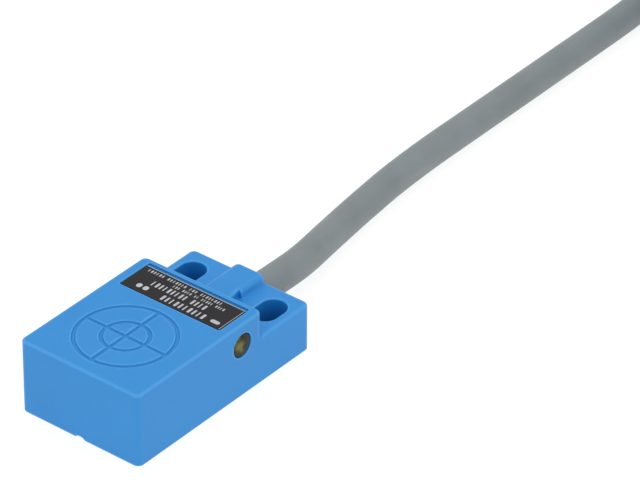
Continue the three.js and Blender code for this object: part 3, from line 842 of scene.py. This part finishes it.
def housing_mesh():
    """The surface where the housing's field is zero, with the field's own shading."""
    margin = 4 * VOXEL
    low = np.array(BODY_LOW) - margin
    high = np.array(BODY_HIGH) + margin
    counts = np.ceil((high - low) / VOXEL).astype(int) + 1
    axes = [low[i] + VOXEL * np.arange(counts[i]) for i in range(3)]
    x, y, z = np.meshgrid(*axes, indexing="ij", sparse=True)
    band = 3 * VOXEL
    values = np.clip(housing_field(x, y, z), -band, band).astype(np.float32)
    grid = openvdb.FloatGrid(band)
    grid.copyFromArray(values)
    points, triangles, quads = grid.convertToPolygons(adaptivity=0.02)
    points = points.astype(float) * VOXEL + low
    for _ in range(SNAP_PASSES):
        distance, normals, _ = gradient(points, SNAP_STEP)
        points -= normals * np.clip(distance, -VOXEL, VOXEL)[:, None]
    mesh = bpy.data.meshes.new("housing_shell")
    mesh.from_pydata((points * MM).tolist(), [], triangles.tolist() + quads.tolist())
    mesh.validate()
    # the edge attribute carries the painted highlight and painted shade to the housing's material
    edge = mesh.attributes.new("edge", "FLOAT", "POINT")
    edge.data.foreach_set("value", painted_light_mask(points))
    mesh.polygons.foreach_set("use_smooth", [True] * len(mesh.polygons))
    _, fine, _ = gradient(points, SHADE_STEP)
    mesh.normals_split_custom_set_from_vertices(fine.tolist())
    return mesh


link("housing_shell", housing_mesh(), "housing_blue", "housing")


# ---------------------------------------------------------------- label
CORNER_STEPS = 4            # steps round each corner of a plate


def plate(bm, x0, x1, y0, y1, z0, z1, corner, bevel=0.0):
    """A flat plate with round corners, added to bm."""
    outline = []
    for cx, cy, first in ((x1, y0, -90), (x1, y1, 0), (x0, y1, 90), (x0, y0, 180)):
        inward_x = math.copysign(corner, (x0 + x1) / 2 - cx)
        inward_y = math.copysign(corner, (y0 + y1) / 2 - cy)
        for i in range(CORNER_STEPS + 1):
            angle = math.radians(first + 90 * i / CORNER_STEPS)
            outline.append((
                cx + inward_x + corner * math.cos(angle),
                cy + inward_y + corner * math.sin(angle),
            ))
    centre = ((x0 + x1) / 2, (y0 + y1) / 2)
    layers = [(z0, 0.0), (z1 - bevel, 0.0), (z1, bevel)] if bevel else [(z0, 0.0), (z1, 0.0)]
    rings = []
    for z, inset in layers:
        ring = []
        for x, y in outline:
            ring.append(bm.verts.new((
                (x - math.copysign(inset, x - centre[0])) * MM,
                (y - math.copysign(inset, y - centre[1])) * MM,
                z * MM,
            )))
        rings.append(ring)
    count = len(outline)
    for lower, upper in zip(rings, rings[1:]):
        for i in range(count):
            bm.faces.new((lower[i], lower[(i + 1) % count], upper[(i + 1) % count], upper[i]))
    bm.faces.new(list(reversed(rings[0])))
    bm.faces.new(rings[-1])


def mesh_from(bm, name):
    """A mesh made of bm, which is freed."""
    bmesh.ops.recalc_face_normals(bm, faces=bm.faces)
    mesh = bpy.data.meshes.new(name)
    bm.to_mesh(mesh)
    bm.free()
    return mesh


LABEL_TOP = LABEL_HIGH.z
INK = 0.012
PRINT_ROWS = [  # y, height, start and pitch of a row, and how many bars each group has
    {"y": 4.8, "height": 0.5, "start": -6.7, "pitch": 0.42, "groups": (6, 7, 3, 8)},
    {"y": 4.05, "height": 0.46, "start": -2.3, "pitch": 0.36, "groups": (3, 4, 2, 5, 4)},
    {"y": 3.0, "height": 0.95, "start": -4.6, "pitch": 0.6, "groups": (9, 4)},
    {"y": 1.5, "height": 1.0, "start": -1.9, "pitch": 0.68, "groups": (10,)},
]
BAR_SHARES = (0.28, 0.51, 0.4)     # widths of successive bars, as shares of the pitch
BAR_CORNER = 0.3            # corner of a bar, as a share of its width
DOTS = {"starts": (-5.9, -4.9), "width": 0.7, "low": 1.3, "high": 2.1, "corner": 0.3}
LOZENGE = {"x": (5.5, 6.8), "y": (1.25, 1.85), "corner": 0.28}
EDGE_LINE = 0.07
EDGE_LINE_CORNER = 0.02


def label_print():
    """Plain bars, dots and a lozenge laid out as on a rating label, and two pale lines along its rear
    and right edges.
    """
    bm = bmesh.new()

    def mark(x0, x1, y0, y1, corner):
        plate(bm, x0, x1, y0, y1, LABEL_TOP - INK / 2, LABEL_TOP + INK, corner)

    for row in PRINT_ROWS:
        x = row["start"]
        low, high = row["y"] - row["height"] / 2, row["y"] + row["height"] / 2
        for group in row["groups"]:
            for i in range(group):
                wide = row["pitch"] * BAR_SHARES[(i + group) % len(BAR_SHARES)]
                mark(x, x + wide, low, high, wide * BAR_CORNER)
                x += row["pitch"]
            x += row["pitch"]
    for x in DOTS["starts"]:
        mark(x, x + DOTS["width"], DOTS["low"], DOTS["high"], DOTS["corner"])
    mark(*LOZENGE["x"], *LOZENGE["y"], LOZENGE["corner"])
    low, high = LABEL_LOW, LABEL_HIGH
    rear, right = high.y - 0.02, high.x - 0.12
    mark(low.x + 0.1, high.x - 0.05, rear - EDGE_LINE, rear, EDGE_LINE_CORNER)
    mark(right - EDGE_LINE, right, low.y + 0.1, high.y - 0.2, EDGE_LINE_CORNER)
    return mesh_from(bm, "label_print")


def label_film():
    """The black film that carries the print."""
    bm = bmesh.new()
    low, high = LABEL_LOW, LABEL_HIGH
    plate(bm, low.x, high.x, low.y, high.y, low.z, high.z, 0.12, bevel=0.03)
    return mesh_from(bm, "label_film")


link("label_film", label_film(), "label_black", "rating_label")
link("label_print", label_print(), "label_print")


# ---------------------------------------------------------------- indicator lamp
LED_LOW, LED_HIGH = box_mm("indicator_led")
LED_Y = (LED_LOW.y + LED_HIGH.y) / 2
LED_Z = (LED_LOW.z + LED_HIGH.z) / 2
LENS = {"radius": 1.52, "crown": 0.14, "collar": 0.9, "edge": 0.1}
LENS_POLE = 0.001           # radius of the small ring that closes an end of the lens
LENS_POINTS = 64            # points round the lens
WALL_STEPS = 4
CROWN_STEPS = 16
FRAME_WIDTH = 0.45
FRAME_OFFSET = 0.5          # of each part of the frame from the lamp's axis
FRAME_START = 0.05          # from the lens's flat end
FRAME_ROUND = 0.06
FRAME_PARTS = [             # the post and the cup
    {"side": -1, "length": 2.6, "height": 0.55},
    {"side": 1, "length": 2.9, "height": 0.9},
]


def lamp_lens():
    """Round epoxy lens with a low crown and a collar, lying along X."""
    rim = (LED_HIGH.y - LED_LOW.y) / 2
    radius, collar, edge = LENS["radius"], LENS["collar"], LENS["edge"]
    flat = LED_HIGH.x - LED_LOW.x - LENS["crown"]
    profile = [(LENS_POLE, 0), (rim - edge, 0), (rim, edge)]
    profile += [(rim, collar - edge), (rim - edge, collar), (radius, collar)]
    for i in range(1, WALL_STEPS + 1):
        profile.append((radius, collar + (flat - collar) * i / WALL_STEPS))
    for i in range(1, CROWN_STEPS + 1):
        turn = math.radians(90 * i / CROWN_STEPS)
        r = radius * math.cos(turn) + LENS_POLE
        profile.append((r, flat + LENS["crown"] * math.sin(turn)))
    rings = []
    for r, out in profile:
        ring = []
        for j in range(LENS_POINTS):
            turn = 2 * math.pi * j / LENS_POINTS
            ring.append((LED_LOW.x + out, LED_Y + r * math.cos(turn), LED_Z + r * math.sin(turn)))
        rings.append(ring)
    mesh = rings_mesh("lamp_lens", rings)
    sharpen(mesh, 50)
    return mesh


def lamp_frame():
    """The metal post and cup inside the lens, which its dark tint all but hides."""
    bm = bmesh.new()
    for part in FRAME_PARTS:
        x = LED_LOW.x + part["length"] / 2 + FRAME_START
        y = LED_Y + part["side"] * FRAME_OFFSET
        size = (part["length"], FRAME_WIDTH, part["height"])
        add_block(bm, (x, y, LED_Z), size, FRAME_ROUND, 2)
    return mesh_from(bm, "lamp_frame")


link("lamp_lens", lamp_lens(), "lamp_amber", "indicator_led")
link("lamp_frame", lamp_frame(), "tinned_metal")

# ---------------------------------------------------------------- finish of the carried-over nodes
for row in frame["record"]["subparts"]:
    node = frame["nodes"][row["node"]]
    for holder in node.material_slots:
        holder.material = MATERIALS[row["material_slot"]]

# ---------------------------------------------------------------- floor and light
FLOOR_HALF = 3.0            # metres
FLOOR_FINISHES = [          # the table, and the patch of painted shade under the housing
    {"name": "table", "tone": 0.2, "strength": 0.85},
    # painted shade: darker, and without the table's glow
    {"name": "painted_shade", "tone": 0.1, "strength": 0.0},
]
SHADE_PATCH_INSET = 1.0         # how far the patch of painted shade stays inside the housing's outline
SKY_STRENGTH = 0.88
LIGHT_AIM = Vector((0, 0.03, 0))    # metres, the point that the lights face
LIGHTS = [  # place and size in metres and power in watts of each soft light
    {"name": "overhead", "place": (0.05, 0.1, 1.1), "size": 1.2, "power": 2.9},
    {"name": "front", "place": (0.15, -1.0, 0.75), "size": 0.9, "power": 0.5},
]


def make_floor():
    """A lit white table; the patch that the housing covers is painted shade, darker and with no light of
    its own.
    """
    far = Vector((FLOOR_HALF, FLOOR_HALF, 0))
    inset = Vector((SHADE_PATCH_INSET, SHADE_PATCH_INSET, 0)) * MM
    points = []
    for low, high in ((-far, far), (BODY_LOW * MM + inset, BODY_HIGH * MM - inset)):
        points += [(low.x, low.y, 0), (high.x, low.y, 0), (high.x, high.y, 0), (low.x, high.y, 0)]
    faces = [(i, (i + 1) % 4, 4 + (i + 1) % 4, 4 + i) for i in range(4)]
    faces.append((4, 5, 6, 7))
    mesh = bpy.data.meshes.new("floor")
    mesh.from_pydata(points, [], faces)
    mesh.polygons[-1].material_index = 1
    for finish in FLOOR_FINISHES:
        tone = finish["tone"]
        paint = Paint(
            finish["name"],
            Roughness=0.9,
            Specular_IOR_Level=0.1,
            Emission_Strength=finish["strength"],
        )
        paint.shader.inputs["Emission Color"].default_value = (1, 1, 1, 1)
        cloud = paint.ramp(paint.noise(400.0), *NOISE_RANGE)
        paint.color(paint.mix(cloud, (tone * 0.98,) * 3 + (1,), (tone * 1.02,) * 3 + (1,)))
        mesh.materials.append(paint.material)
    floor = bpy.data.objects.new("floor", mesh)
    bpy.context.collection.objects.link(floor)


def make_lights():
    """An even white sky and the soft lights."""
    world = bpy.data.worlds.new("studio")
    world.use_nodes = True
    sky = world.node_tree.nodes["Background"]
    sky.inputs["Color"].default_value = (1, 1, 1, 1)
    sky.inputs["Strength"].default_value = SKY_STRENGTH
    bpy.context.scene.world = world
    for row in LIGHTS:
        light = bpy.data.lights.new(row["name"], "AREA")
        light.shape = "DISK"
        light.size = row["size"]
        light.energy = row["power"]
        lamp = bpy.data.objects.new(row["name"], light)
        lamp.location = row["place"]
        aim = LIGHT_AIM - Vector(row["place"])
        lamp.rotation_euler = aim.to_track_quat("-Z", "Y").to_euler()
        bpy.context.collection.objects.link(lamp)


make_floor()
make_lights()
bpy.context.scene.view_settings.view_transform = "Standard"
